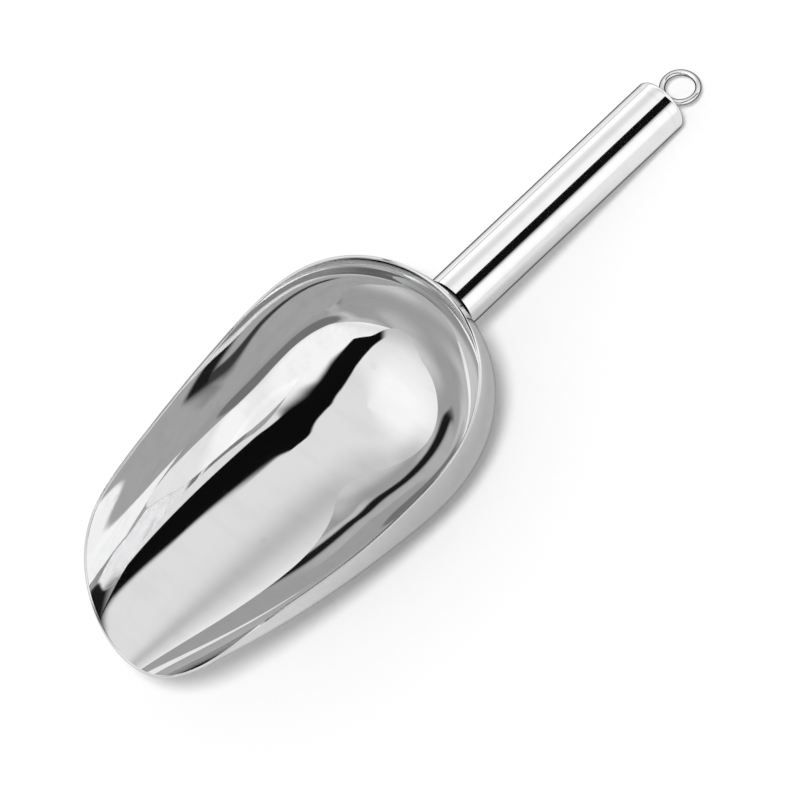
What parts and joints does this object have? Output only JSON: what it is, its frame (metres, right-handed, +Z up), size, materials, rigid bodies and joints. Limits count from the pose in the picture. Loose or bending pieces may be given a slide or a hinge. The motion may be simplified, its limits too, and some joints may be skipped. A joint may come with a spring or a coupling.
{
  "type": "ice scoop",
  "caption": "Polished stainless steel scoop: deep round bowl with a hooded rear and open lip, on a straight tube handle with a hanging ring, for moving ice or dry goods.",
  "frame": {"origin": "bottom centre of the whole scoop as it lies on a level surface, leaned back on the round rear of the bowl and the lower edge of the end cap", "axes": "+Z up, +X towards the open lip of the bowl, handle towards -X, Y across the bowl with the mirror plane at y = 0"},
  "size_m": [0.2682, 0.089, 0.0578],
  "materials": {
    "polished_sheet": "mirror polished stainless steel",
    "polished_tube": "mirror polished stainless steel",
    "polished_cap": "mirror polished stainless steel",
    "polished_wire": "bright drawn stainless wire",
    "weld_bead": "stainless weld bead, lightly polished"
  },
  "bodies": {
    "root": {"scoop_bowl": "polished_sheet", "handle_tube": "polished_tube", "handle_end_cap": "polished_cap", "hanging_ring": "polished_wire", "handle_weld": "weld_bead", "cap_weld": "weld_bead", "ring_weld": "weld_bead"}
  },
  "joints": []
}
